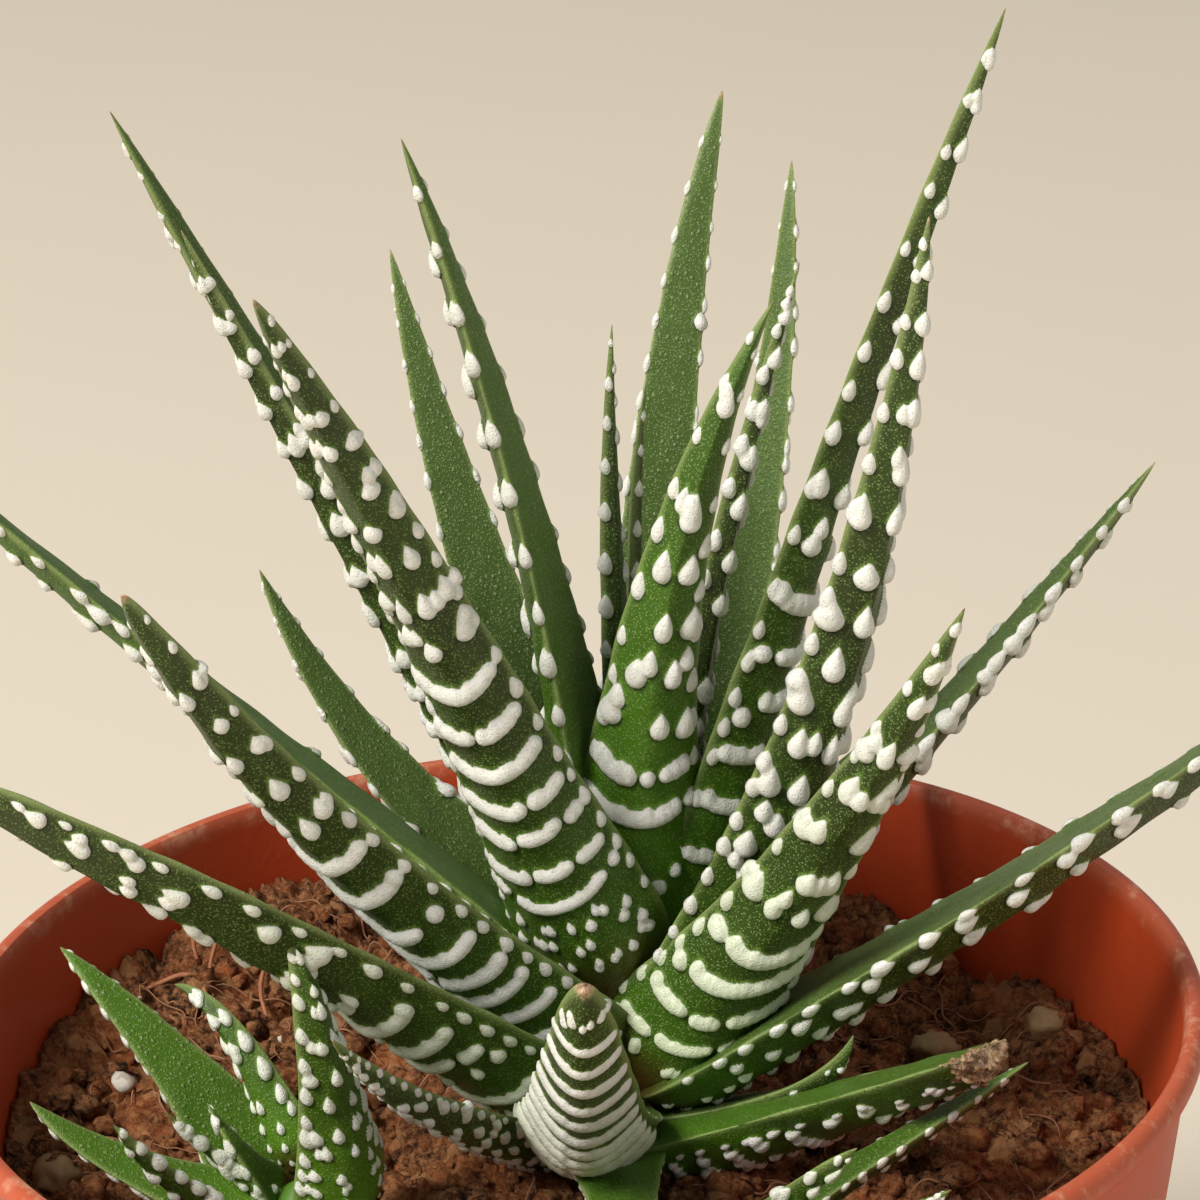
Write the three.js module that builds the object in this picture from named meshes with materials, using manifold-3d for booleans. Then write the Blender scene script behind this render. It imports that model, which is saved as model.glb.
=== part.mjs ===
// Potted haworthia: a zebra-banded succulent rosette with two offsets, in a round plastic pot.
// Units are millimetres and +Z is up. The origin is the centre of the pot's flat underside.

import * as THREE from 'three';
import { mergeVertices } from 'three/addons/utils/BufferGeometryUtils.js';
import Module from 'manifold-3d';

const wasm = await Module();
wasm.setup();

// Driving dimensions of the pot and the soil
const RIM_RADIUS = 60;
const POT_HEIGHT = 95;
const BASE_RADIUS = 45;
const WALL = 1.2;
const FLOOR = 2;
const LIP_HEIGHT = 2.6;
const LIP_OVERHANG = 0.9;
const POT_SIDES = 36;
const DRAIN_RADIUS = 3.5;
const DRAIN_CIRCLE = 30;
const DRAIN_COUNT = 8;
const SOIL_LEVEL = 77.5;
const SOIL_MOUND = 2.5;
const MOUND_SPREAD = 22;
const SOIL_BANK = 9;
const BANK_ANGLE = 120;
const SOIL_LUMPS = 70;

// Clearance between pieces that touch in the real plant
const GAP = 0.3;

// Tubercles: the white ridges and dots on the leaf backs
const ROW_PITCH = 10.5;
const OFFSET_ROW_PITCH = 7.5;
const TUBERCLE_HEIGHT = 0.95;
const BAND_LIMIT = 0.46;
const CREST_SHARE = 0.3;

// Leaf sections: the angles of the points around a section, besides the margins at 0 and 180
const UPPER_ANGLES = [90];
const LOWER_ANGLES = [216, 252, 288, 324];
const TIP_RING = 0.985;
const TRIMMER_STATIONS = [0, 0.05, 0.12, 0.22, 0.38, 0.55, 0.72, 0.86];
const MARGIN_THICKNESS = 0.35;

const DEGREE = Math.PI / 180;
const POT_COLOUR = 0xb4532f;
const SOIL_COLOUR = 0x3f271b;
const STEM_COLOUR = 0x6b4a2c;
const LEAF_COLOUR = 0x3f6b2a;
const OFFSET_COLOUR = 0x4f8a2f;

const part = new THREE.Group();

// Adds one solid to the part as a named mesh.
function addNode(name, solid, colour, roughness) {
  const { numProp, vertProperties, triVerts } = solid.getMesh();
  const points = new Float32Array((vertProperties.length / numProp) * 3);
  for (let i = 0; i < points.length / 3; i += 1) {
    points.set(vertProperties.slice(i * numProp, i * numProp + 3), i * 3);
  }
  const geometry = new THREE.BufferGeometry();
  geometry.setAttribute('position', new THREE.BufferAttribute(points, 3));
  geometry.setIndex([...triVerts]);
  geometry.computeVertexNormals();
  const material = new THREE.MeshStandardMaterial({ color: colour, roughness, metalness: 0 });
  const mesh = new THREE.Mesh(geometry, material);
  mesh.name = name;
  part.add(mesh);
}

// A closed solid from points and triangles, or from a three.js geometry.
function solidFromTriangles(points, triangles) {
  const vertProperties = new Float32Array(points.flatMap((point) => point.toArray()));
  const triVerts = new Uint32Array(triangles);
  return new wasm.Manifold(new wasm.Mesh({ numProp: 3, vertProperties, triVerts }));
}

function solidFromGeometry(geometry) {
  geometry.deleteAttribute('normal');
  geometry.deleteAttribute('uv');
  const merged = mergeVertices(geometry, 1e-4);
  const vertProperties = new Float32Array(merged.attributes.position.array);
  const triVerts = new Uint32Array(merged.index.array);
  return new wasm.Manifold(new wasm.Mesh({ numProp: 3, vertProperties, triVerts }));
}

// A turned solid about the Z axis, from [radius, height] pairs.
function turned(profile, sides) {
  const outline = profile.map(([radius, height]) => new THREE.Vector2(radius, height));
  return new THREE.LatheGeometry(outline, sides).rotateX(Math.PI / 2);
}

// A repeatable random number source.
function seededRandom(seed) {
  let state = seed;
  return () => {
    state = (state * 1664525 + 1013904223) % 4294967296;
    return state / 4294967296;
  };
}

// The largest piece of a solid that a cut has parted, without its loose scraps.
function largestPiece(solid) {
  const pieces = solid.decompose();
  return pieces.reduce((best, piece) => (piece.volume() > best.volume() ? piece : best));
}

function boxesMeet(a, b) {
  const [p, q] = [a.boundingBox(), b.boundingBox()];
  return [0, 1, 2].every((axis) => p.min[axis] < q.max[axis] && q.min[axis] < p.max[axis]);
}

// ---- Pot: one thin-walled moulding with a small rolled lip and drain holes in its floor ----

const outerRadiusAt = (height) => {
  const top = RIM_RADIUS - LIP_OVERHANG;
  return BASE_RADIUS + ((top - BASE_RADIUS) * height) / POT_HEIGHT;
};
const innerRadiusAt = (height) => outerRadiusAt(height) - WALL;

function makePot() {
  const lipFoot = POT_HEIGHT - LIP_HEIGHT;
  const edge = LIP_OVERHANG / 2;
  const body = solidFromGeometry(turned([
    [0, 0],
    [BASE_RADIUS - edge, 0],
    [outerRadiusAt(1), 1],
    [outerRadiusAt(lipFoot), lipFoot],
    [RIM_RADIUS - 0.2, lipFoot + edge],
    [RIM_RADIUS, lipFoot + LIP_HEIGHT / 2],
    [RIM_RADIUS - edge, POT_HEIGHT - 0.2],
    [RIM_RADIUS - LIP_OVERHANG, POT_HEIGHT],
    [innerRadiusAt(POT_HEIGHT) + edge, POT_HEIGHT - 0.3],
    [innerRadiusAt(POT_HEIGHT - 1), POT_HEIGHT - 1],
    [innerRadiusAt(FLOOR + 1), FLOOR + 1],
    [innerRadiusAt(FLOOR) - 1, FLOOR],
    [0, FLOOR],
  ], POT_SIDES));
  const drain = new THREE.CylinderGeometry(DRAIN_RADIUS, DRAIN_RADIUS, 4 * FLOOR, 10).rotateX(Math.PI / 2);
  let pot = body;
  for (let i = 0; i < DRAIN_COUNT; i += 1) {
    const angle = ((i + 0.5) * 2 * Math.PI) / DRAIN_COUNT;
    const [x, y] = [DRAIN_CIRCLE * Math.cos(angle), DRAIN_CIRCLE * Math.sin(angle)];
    pot = pot.subtract(solidFromGeometry(drain.clone().translate(x, y, 0)));
  }
  return pot;
}

// ---- Soil: fills the pot to the rim's shadow, mounded at the plant, banked up against the wall
// behind it, with a lumpy top ----

// How much higher the soil lies towards the wall on the side of BANK_ANGLE.
function bankAt(x, y) {
  const towards = x * Math.cos(BANK_ANGLE * DEGREE) + y * Math.sin(BANK_ANGLE * DEGREE);
  return SOIL_BANK * Math.max(0, towards / RIM_RADIUS) ** 1.6;
}

function makeSoil() {
  const random = seededRandom(7);
  const lumps = Array.from({ length: SOIL_LUMPS }, () => {
    const distance = RIM_RADIUS * Math.sqrt(random());
    const angle = 2 * Math.PI * random();
    const [x, y] = [distance * Math.cos(angle), distance * Math.sin(angle)];
    return { x, y, size: 3 + 4 * random(), height: 0.6 + 2.2 * random() };
  });
  const bottom = FLOOR + GAP;
  const rings = [0.98, 0.8, 0.58, 0.32];
  const edgeRadius = innerRadiusAt(SOIL_LEVEL) - GAP;
  const geometry = turned([
    [0, bottom],
    [innerRadiusAt(bottom) - 1 - GAP, bottom],
    [innerRadiusAt(bottom + 1) - GAP, bottom + 1],
    [edgeRadius, SOIL_LEVEL - 2],
    ...rings.map((share) => [edgeRadius * share, SOIL_LEVEL]),
    [0, SOIL_LEVEL],
  ], POT_SIDES);
  const position = geometry.attributes.position;
  for (let i = 0; i < position.count; i += 1) {
    const [x, y] = [position.getX(i), position.getY(i)];
    const mound = SOIL_MOUND * Math.exp(-(x * x + y * y) / (2 * MOUND_SPREAD ** 2));
    const relief = lumps.reduce((sum, lump) => {
      const squared = (x - lump.x) ** 2 + (y - lump.y) ** 2;
      return sum + lump.height * Math.exp(-squared / lump.size ** 2);
    }, mound + bankAt(x, y));
    if (position.getZ(i) > SOIL_LEVEL - 1) {
      const spread = (innerRadiusAt(SOIL_LEVEL + relief) - GAP) / edgeRadius;
      position.setXYZ(i, x * spread, y * spread, SOIL_LEVEL + relief);
    }
  }
  return solidFromGeometry(geometry);
}

// ---- Stems: the short hidden column that each rosette grows on, rooted in the soil ----

function makeStem(foot, top, profile, grow = 0) {
  const axis = new THREE.Vector3().subVectors(top, foot);
  const length = axis.length();
  const outline = profile.map(([radius, share]) => {
    const end = share === 0 ? -grow : share === 1 ? grow : 0;
    return [radius > 0 ? radius + grow : 0, length * share + end];
  });
  const turn = new THREE.Quaternion().setFromUnitVectors(new THREE.Vector3(0, 0, 1), axis.normalize());
  const geometry = turned(outline, 12).applyQuaternion(turn).translate(foot.x, foot.y, foot.z);
  return solidFromGeometry(geometry);
}

// ---- Leaves ----

// A leaf is given by three points of its centreline, its greatest width, the compass angle that its
// back faces, and where it differs: roll about its length, taper, fatness and where it is broken off.
function leaf(name, root, middle, tip, width, back, extra = {}) {
  const shape = { roll: 0, taper: 0.75, fat: 1, end: 1, ...extra };
  const [a, b, c] = [root, middle, tip].map((point) => new THREE.Vector3(...point));
  const elbow = b.clone().multiplyScalar(2).sub(a.clone().add(c).multiplyScalar(0.5));
  return { name, width, back, ...shape, line: new THREE.QuadraticBezierCurve3(a, elbow, c) };
}

// Half the leaf's width along its length: broad and clasping at the root, then a long taper.
function halfWidth(shape, t) {
  const blade = 0.75 * Math.max(1 - t, 0) ** shape.taper;
  const sheath = 0.25 * Math.exp(-((t / 0.25) ** 2));
  const neck = 1 - 0.3 * Math.exp(-((t / 0.05) ** 2));
  return (shape.width / 2) * (blade + sheath) * neck;
}

// The directions of a section: along the leaf, across it, and out of its upper face.
function sectionFrame(shape, t) {
  const along = shape.line.getTangent(t);
  const back = new THREE.Vector3(Math.cos(shape.back * DEGREE), Math.sin(shape.back * DEGREE), 0);
  const level = new THREE.Vector3(0, 0, 1).cross(back);
  const side = level.addScaledVector(along, -along.dot(level)).normalize();
  side.applyAxisAngle(along, shape.roll * DEGREE);
  const upper = new THREE.Vector3().crossVectors(along, side);
  return { side, upper };
}

// One point of the leaf's skin. The upper face is nearly flat, the back is round at the root and
// keeled towards the tip. lift raises a tubercle there, or swells the leaf for a clearance.
function leafPoint(shape, t, angle, lift) {
  const { side, upper } = sectionFrame(shape, t);
  const half = halfWidth(shape, t);
  const [across, up] = [Math.cos(angle), Math.sin(angle)];
  const keel = 2 - 0.75 * Math.min(Math.max((t - 0.1) / 0.5, 0), 1);
  const depth = shape.fat * (0.62 + 0.15 * t);
  const hollow = 0.06 * (1 - t) - 0.1 * Math.sin(Math.PI * t);
  const edge = MARGIN_THICKNESS * Math.min(1, half);
  const face = up >= 0 ? hollow * half * up ** 2 : -depth * half * (1 - Math.abs(across) ** keel);
  return shape.line.getPoint(t)
    .addScaledVector(side, half * across + lift * across)
    .addScaledVector(upper, face + (edge + lift) * up);
}

// Joins the rings of points into a closed tube, with a point or a flat end at each end.
function skinRings(rings, start, end) {
  const count = rings[0].length;
  const points = [...rings.flat(), start, end];
  const triangles = [];
  const [startIndex, endIndex] = [points.length - 2, points.length - 1];
  for (let j = 0; j < count; j += 1) {
    const next = (j + 1) % count;
    const last = (rings.length - 1) * count;
    triangles.push(startIndex, next, j, endIndex, last + j, last + next);
    for (let i = 0; i < rings.length - 1; i += 1) {
      const [low, high] = [i * count, (i + 1) * count];
      triangles.push(low + j, low + next, high + next, low + j, high + next, high + j);
    }
  }
  return solidFromTriangles(points, triangles);
}

// Where the rows of tubercles run: each row has a foot and, just above it, its crest.
function leafStations(shape) {
  const rows = Math.max(4, Math.round((shape.line.getLength() * shape.end) / shape.pitch));
  const [first, last] = [0.07, Math.min(TIP_RING, shape.end) - 0.03];
  const stations = [{ t: 0, crest: false }];
  for (let row = 0; row < rows; row += 1) {
    const foot = first + ((last - first) * row) / rows;
    stations.push({ t: foot, crest: false });
    stations.push({ t: foot + (CREST_SHARE * (last - first)) / rows, crest: true, row });
  }
  stations.push({ t: Math.min(TIP_RING, shape.end), crest: false });
  return stations;
}

// How far a tubercle stands out at one place of a crest: bands right across the lower back, then
// separate dots that alternate from row to row, and teeth along both margins.
function tubercle(shape, station, angle) {
  if (!station.crest || UPPER_ANGLES.includes(angle)) return 0;
  const size = TUBERCLE_HEIGHT * Math.min(1, 0.45 + shape.width / 24) * (1 - 0.45 * station.t);
  const column = [0, ...LOWER_ANGLES, 180].indexOf(angle);
  const band = station.t < BAND_LIMIT && column > 0 && column <= LOWER_ANGLES.length;
  const dot = (column + station.row) % 2 === 0;
  return band || dot ? size : 0;
}

function makeLeaf(shape) {
  const angles = [0, ...UPPER_ANGLES, 180, ...LOWER_ANGLES];
  const rings = leafStations(shape).map((station) => angles.map((angle) => (
    leafPoint(shape, station.t, angle * DEGREE, tubercle(shape, station, angle))
  )));
  return skinRings(rings, shape.line.getPoint(0), shape.line.getPoint(shape.end));
}

// The same leaf without its tubercles, swollen to clear them: what its neighbours are trimmed by.
function makeTrimmer(shape) {
  const stations = [...TRIMMER_STATIONS, TIP_RING].map((t) => t * Math.min(1, shape.end / TIP_RING));
  const angles = [0, ...UPPER_ANGLES, 180, ...LOWER_ANGLES];
  const rings = stations.map((t) => angles.map((angle) => (
    leafPoint(shape, t, angle * DEGREE, UPPER_ANGLES.includes(angle) ? 2 * GAP : GAP + TUBERCLE_HEIGHT)
  )));
  const start = shape.line.getPoint(0).addScaledVector(shape.line.getTangent(0), -GAP);
  const end = shape.line.getPoint(shape.end).addScaledVector(shape.line.getTangent(shape.end), GAP);
  return skinRings(rings, start, end);
}

// Leaves of the main rosette, from its heart outwards.
const MAIN_LEAVES = [
  leaf('leaf_01', [7, 9.5, 96.5], [5.5, 12, 130], [6.5, 14, 157.5], 6.5, -60),
  leaf('leaf_02', [7, 11, 95.5], [7, 14, 129], [9.5, 16, 151], 5.5, 0),
  leaf('leaf_03', [8, 9, 97], [14.5, 8, 132], [24, 10, 164], 8, -50),
  leaf('leaf_04', [6.5, 7, 95], [10, 2, 133], [21, 0, 163.5], 17.5, -91, { taper: 0.9 }),
  leaf('leaf_05', [7.5, 13, 95], [10.5, 26, 136], [18.5, 42, 172], 13.5, 95, { taper: 0.65 }),
  leaf('leaf_06', [8.5, 12, 95.5], [19, 20, 133.5], [24.5, 30, 168], 13, 60),
  leaf('leaf_07', [5, 8, 95.5], [-1, 4.5, 139], [-11.5, 0, 180], 15, 159),
  leaf('leaf_08', [8, 8, 92.5], [25.5, 5.5, 145], [42.5, 5, 188], 14.5, -34),
  leaf('leaf_09', [5.5, 13, 94], [-6.5, 28, 124.5], [-15, 40, 158], 15, 100),
  leaf('leaf_10', [4.5, 12, 94.5], [-19, 14, 140], [-38.5, 14, 180], 13, 150),
  leaf('leaf_11', [4.5, 3, 94.5], [-10.5, -10, 138], [-23.5, -25, 173.5], 16.5, -98, { taper: 0.65 }),
  leaf('leaf_12', [3.5, 9, 94], [-15.5, 6, 134.5], [-31.5, 0, 172.5], 13.5, -140),
  leaf('leaf_13', [9.5, 5, 90], [25, -5.5, 130.5], [34.5, -6, 172.5], 18.5, -52),
  leaf('leaf_14', [10.5, 9, 91.5], [33.5, 12, 114.5], [57.5, 15, 141], 15, 5),
  leaf('leaf_15', [3.5, 12, 93.5], [-16.5, 22, 108.5], [-29.5, 30, 128.5], 14, 130),
  leaf('leaf_16', [8, 13, 94.5], [11, 38, 114], [14.5, 58, 130], 13, 90),
  leaf('leaf_17', [5, 13, 93.5], [-5, 38, 115.5], [-12, 56, 132], 13, 110),
  leaf('leaf_18', [7, 2, 86], [24, -12, 116], [35.5, -25, 143], 17.5, -90, { taper: 0.85, roll: -11 }),
  leaf('leaf_19', [2.5, 3, 88], [-20.5, -16.5, 120.5], [-36, -29.5, 149.5], 16.5, -107, { taper: 0.55 }),
  leaf('leaf_20', [2.5, 7, 92.5], [-35, 5.5, 128.5], [-66.5, 5, 159.5], 14.5, -167),
  leaf('leaf_21', [11.5, 11, 91.5], [26, 32, 99.5], [38.5, 48, 103], 12, 60),
  leaf('leaf_22', [7, 4, 84], [36.5, -8.5, 107], [68, -5, 126], 16.5, -37, { roll: 9, taper: 0.4 }),
  leaf('leaf_23', [2, 2, 83], [-28, -19.5, 114.5], [-53, -26, 132], 19.5, -109, { roll: -10, taper: 0.42 }),
  leaf('leaf_24', [1, 1, 84], [1, -23.5, 96], [1.5, -43.5, 118], 19.5, -95, { taper: 0.45, fat: 1.2, roll: -6 }),
  leaf('leaf_25', [3, -0.5, 79.5], [29.5, -19, 95], [47, -43, 114], 20, -61, { roll: 5, end: 0.68 }),
  leaf('leaf_26', [6, 2, 81], [20, -6, 87], [26, -10, 94.5], 8, -60),
  leaf('leaf_27', [1.5, 1, 77.5], [-12, -21, 94], [-20.5, -38, 111], 10, -110, { roll: 30 }),
  leaf('leaf_28', [2.5, 0, 81.5], [4, -27, 86.5], [5, -50, 88], 13, -90),
  leaf('leaf_29', [6, 9, 83], [6, 33, 90], [8, 52, 99], 13, 90),
  leaf('leaf_30', [3, 8, 82.5], [-10, 25, 89.5], [-20, 36, 98], 12, 120),
  leaf('leaf_31', [8, 7, 82], [21, 22, 87.5], [29, 35, 95.5], 12, 50),
];

// Leaves of the larger offset, at the front left.
const LEFT_OFFSET_LEAVES = [
  leaf('left_offset_leaf_1', [-28, -12, 81.5], [-31.5, -14, 87.5], [-34.5, -12, 91.5], 5, 160),
  leaf('left_offset_leaf_2', [-28, -12, 81], [-34, -14, 87.5], [-38, -16, 93], 3.5, -120),
  leaf('left_offset_leaf_3', [-22.5, -16, 82], [-23, -20, 99.5], [-25, -22, 113.5], 12, -50),
  leaf('left_offset_leaf_4', [-26.5, -8, 82], [-32, -4, 94], [-38, 0, 98], 7, -120),
  leaf('left_offset_leaf_5', [-28, -10, 80.5], [-38.5, -6, 93.5], [-48.5, 0, 102.5], 11.5, 118),
  leaf('left_offset_leaf_6', [-27, -18, 81.5], [-34.5, -24, 89], [-41, -30, 99.5], 10, -130),
  leaf('left_offset_leaf_7', [-28, -14, 80.5], [-42, -14, 86.5], [-51, -12, 92.5], 9.5, 170, { roll: -20 }),
  leaf('left_offset_leaf_8', [-23.5, -18, 81.5], [-16.5, -30, 84.5], [-12, -44, 91.5], 9, -60),
];

// Leaves of the smaller offset, at the front right.
const RIGHT_OFFSET_LEAVES = [
  leaf('right_offset_leaf_1', [13.5, -30, 85], [19.5, -33, 92], [24.5, -36, 97], 8, -60),
  leaf('right_offset_leaf_2', [14, -28, 84], [28.5, -22, 89.5], [42, -14, 93], 8.5, -30, { roll: 10 }),
  leaf('right_offset_leaf_3', [13.5, -30, 84.5], [23.5, -38, 90.5], [32, -44, 97], 8, -50),
  leaf('right_offset_leaf_4', [12.5, -32, 85], [11.5, -42, 87], [12.5, -50, 86], 8, -90),
  leaf('right_offset_leaf_5', [11.5, -31, 85], [6, -39.5, 90.5], [1, -47, 96], 7, -130),
];

const ROSETTES = [
  {
    stem: 'stem',
    foot: new THREE.Vector3(3, 2, 62),
    top: new THREE.Vector3(7, 9.5, 101),
    profile: [[0, 0], [4, 0], [6, 0.15], [7, 0.5], [7.5, 0.75], [5.5, 0.9], [2, 0.98], [0, 1]],
    leaves: MAIN_LEAVES,
    pitch: ROW_PITCH,
    colour: LEAF_COLOUR,
  },
  {
    stem: 'left_offset_stem',
    foot: new THREE.Vector3(-25, -12, 68),
    top: new THREE.Vector3(-26.5, -13.5, 86),
    profile: [[0, 0], [2.5, 0], [3.5, 0.3], [4.5, 0.7], [3, 0.93], [0, 1]],
    leaves: LEFT_OFFSET_LEAVES,
    pitch: OFFSET_ROW_PITCH,
    colour: OFFSET_COLOUR,
  },
  {
    stem: 'right_offset_stem',
    foot: new THREE.Vector3(12, -26, 68),
    top: new THREE.Vector3(13, -30, 87),
    profile: [[0, 0], [2.5, 0], [3, 0.3], [3.5, 0.7], [2.5, 0.93], [0, 1]],
    leaves: RIGHT_OFFSET_LEAVES,
    pitch: OFFSET_ROW_PITCH,
    colour: OFFSET_COLOUR,
  },
];

// ---- Assembly: each later piece is trimmed clear of the pieces that it would touch ----

const trimmers = [];

function trimmed(solid, cutters) {
  const touching = cutters.filter((cutter) => boxesMeet(solid, cutter));
  return touching.reduce((rest, cutter) => rest.subtract(cutter), solid);
}

for (const { stem, foot, top, profile, leaves, pitch, colour } of ROSETTES) {
  addNode(stem, largestPiece(trimmed(makeStem(foot, top, profile), trimmers)), STEM_COLOUR, 0.7);
  trimmers.push(makeStem(foot, top, profile, GAP));
  for (const entry of leaves) {
    const shape = { ...entry, pitch };
    addNode(shape.name, largestPiece(trimmed(makeLeaf(shape), trimmers)), colour, 0.45);
    trimmers.push(makeTrimmer(shape));
  }
}

addNode('soil', largestPiece(trimmed(makeSoil(), trimmers)), SOIL_COLOUR, 0.95);
addNode('pot', makePot(), POT_COLOUR, 0.55);

export default part;
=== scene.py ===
# Potted haworthia: the looks of every piece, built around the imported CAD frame.
# Blender units are metres. The pieces' own sizes are given in millimetres and multiplied by MM.

import math

import bpy
import numpy as np
from mathutils import Matrix, Vector, noise


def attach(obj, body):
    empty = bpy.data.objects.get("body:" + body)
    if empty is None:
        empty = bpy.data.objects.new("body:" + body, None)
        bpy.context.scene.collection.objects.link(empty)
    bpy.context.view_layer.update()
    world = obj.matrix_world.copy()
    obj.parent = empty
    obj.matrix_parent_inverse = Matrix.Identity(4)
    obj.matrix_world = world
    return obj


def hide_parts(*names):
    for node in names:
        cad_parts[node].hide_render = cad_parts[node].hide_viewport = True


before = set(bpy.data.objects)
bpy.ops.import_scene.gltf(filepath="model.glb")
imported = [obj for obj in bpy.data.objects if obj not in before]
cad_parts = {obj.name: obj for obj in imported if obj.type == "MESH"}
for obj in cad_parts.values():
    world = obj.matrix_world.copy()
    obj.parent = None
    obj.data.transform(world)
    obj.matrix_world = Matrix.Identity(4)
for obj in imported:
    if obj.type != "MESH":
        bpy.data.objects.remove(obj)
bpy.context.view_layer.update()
MM = 0.001

# ---- Pot ----
# A thin injection-moulded nursery pot of terracotta-coloured plastic: a tapered wall with a small
# rolled lip and eight drain holes through its floor. The top of the lip is painted paler as a
# highlight, and scuffed paler still in patches by handling.

POT_HEIGHT = 95
RIM_RADIUS = 60
BASE_RADIUS = 45
WALL = 1.2
FLOOR = 2
LIP_OVERHANG = 0.9
DRAIN_HOLES = 8
DRAIN_CIRCLE = 30
DRAIN_RADIUS = 3.5


def clear_selection():
    bpy.ops.object.select_all(action="DESELECT")


def select_only(piece):
    clear_selection()
    piece.select_set(True)
    bpy.context.view_layer.objects.active = piece


def close_edit():
    """Turns all faces outwards and leaves edit mode."""
    bpy.ops.mesh.select_all(action="SELECT")
    bpy.ops.mesh.normals_make_consistent(inside=False)
    bpy.ops.object.mode_set(mode="OBJECT")


def wire(material, kind, inputs, output=0, **settings):
    """Adds a shader node. An input is a number, a colour or the socket that feeds it."""
    shader = material.node_tree.nodes.new(kind)
    for name, value in settings.items():
        setattr(shader, name, value)
    for name, value in inputs.items():
        socket = shader.inputs[name]
        if isinstance(value, bpy.types.NodeSocket):
            material.node_tree.links.new(value, socket)
        else:
            socket.default_value = value
    return shader.outputs[output]


def blend_colours(material, factor, first, second):
    return wire(material, "ShaderNodeMix", {0: factor, 6: first, 7: second}, output=2, data_type="RGBA")


def ramp(material, value, low, high, start=0.0, end=1.0):
    inputs = {"Value": value, "From Min": low, "From Max": high, "To Min": start, "To Max": end}
    return wire(material, "ShaderNodeMapRange", inputs)


def grain(material, place, scale, detail=3.0, roughness=0.55):
    inputs = {"Vector": place, "Scale": scale, "Detail": detail, "Roughness": roughness}
    return wire(material, "ShaderNodeTexNoise", inputs)


def cells(material, place, scale, randomness=1.0, output=0):
    inputs = {"Vector": place, "Scale": scale, "Randomness": randomness}
    return wire(material, "ShaderNodeTexVoronoi", inputs, output=output)


def multiply(material, first, second):
    return wire(material, "ShaderNodeMath", {0: first, 1: second}, operation="MULTIPLY")


def add(material, first, second):
    return wire(material, "ShaderNodeMath", {0: first, 1: second}, operation="ADD")


def new_finish(name):
    """An empty material, with its shader and the socket of its Object coordinates."""
    material = bpy.data.materials.new(name)
    material.use_nodes = True
    shader = material.node_tree.nodes["Principled BSDF"]
    place = wire(material, "ShaderNodeTexCoord", {}, output=3)
    return material, shader, place


def finish_with(material, shader, **sockets):
    """Feeds the shader's sockets, given with _ for the spaces in their names."""
    for name, value in sockets.items():
        socket = shader.inputs[name.replace("_", " ")]
        if isinstance(value, bpy.types.NodeSocket):
            material.node_tree.links.new(value, socket)
        else:
            socket.default_value = value


def bumps(material, height, strength, depth):
    inputs = {"Height": height, "Strength": strength, "Distance": depth}
    return wire(material, "ShaderNodeBump", inputs)


def rgb(red, green, blue):
    """A colour as the eye reads it, 0 to 255, as the linear values of a shader."""
    return tuple(((value / 255 + 0.055) / 1.055) ** 2.4 for value in (red, green, blue)) + (1.0,)


def dress(piece, material, slot, *nodes):
    """Gives a finished piece its material and its place on the body, and hides the CAD nodes that it stands
    for.
    """
    piece.data.materials.clear()
    piece.data.materials.append(material)
    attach(piece, "root")
    if nodes:
        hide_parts(*nodes)


def outer_radius(height):
    return BASE_RADIUS + (RIM_RADIUS - LIP_OVERHANG - BASE_RADIUS) * height / POT_HEIGHT


def inner_radius(height):
    return outer_radius(height) - WALL


def raise_rings(profile):
    """Extrudes the selected disc through rings of [radius, height], in millimetres."""
    radius, height = profile[0]
    for next_radius, next_height in profile[1:]:
        lift = (0, 0, (next_height - height) * MM)
        bpy.ops.mesh.extrude_region_move(TRANSFORM_OT_translate={"value": lift})
        share = next_radius / radius
        centre = (0, 0, next_height * MM)
        bpy.ops.transform.resize(value=(share, share, 1), center_override=centre)
        radius, height = next_radius, next_height


def pot_plastic():
    material, shader, place = new_finish("terracotta_plastic")
    height = wire(material, "ShaderNodeSeparateXYZ", {"Vector": place}, output=2)
    cloudy = grain(material, place, 45, 4)
    speck = grain(material, place, 900, 2)
    scuff = ramp(material, grain(material, place, 260, 5, 0.7), 0.5, 0.62)
    lip_highlight_and_wear_band = ramp(material, height, (POT_HEIGHT - 2.2) * MM, (POT_HEIGHT - 0.6) * MM)
    plain = blend_colours(material, cloudy, rgb(180, 60, 22), rgb(200, 80, 38))
    # The paler lip colour is a painted highlight along the top of the lip; the scuff patches over it are wear.
    lip = blend_colours(material, cloudy, rgb(186, 88, 54), rgb(204, 110, 76))
    colour = blend_colours(material, multiply(material, lip_highlight_and_wear_band, 0.75), plain, lip)
    worn = multiply(material, multiply(material, lip_highlight_and_wear_band, scuff), 0.6)
    colour = blend_colours(material, worn, colour, rgb(226, 166, 132))
    # Dark brown patches on the wall, darker lower down: full at 70 mm up and gone by 90 mm up.
    low_wall_fade = ramp(material, height, 70 * MM, 90 * MM, 1.0, 0.0)
    dark_low_patches = multiply(material, low_wall_fade, ramp(material, grain(material, place, 130, 6, 0.7), 0.5, 0.75))
    colour = blend_colours(material, multiply(material, dark_low_patches, 0.55), colour, rgb(92, 52, 36))
    roughness = ramp(material, cloudy, 0.3, 0.7, 0.38, 0.52)
    relief = add(material, multiply(material, speck, 0.5), scuff)
    normal = bumps(material, relief, 0.12, 0.0002)
    finish_with(material, shader, Base_Color=colour, Roughness=roughness, Normal=normal)
    shader.inputs["Subsurface Weight"].default_value = 0.06
    shader.inputs["Subsurface Radius"].default_value = (1.0, 0.3, 0.15)
    shader.inputs["Subsurface Scale"].default_value = 0.002
    return material


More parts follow.
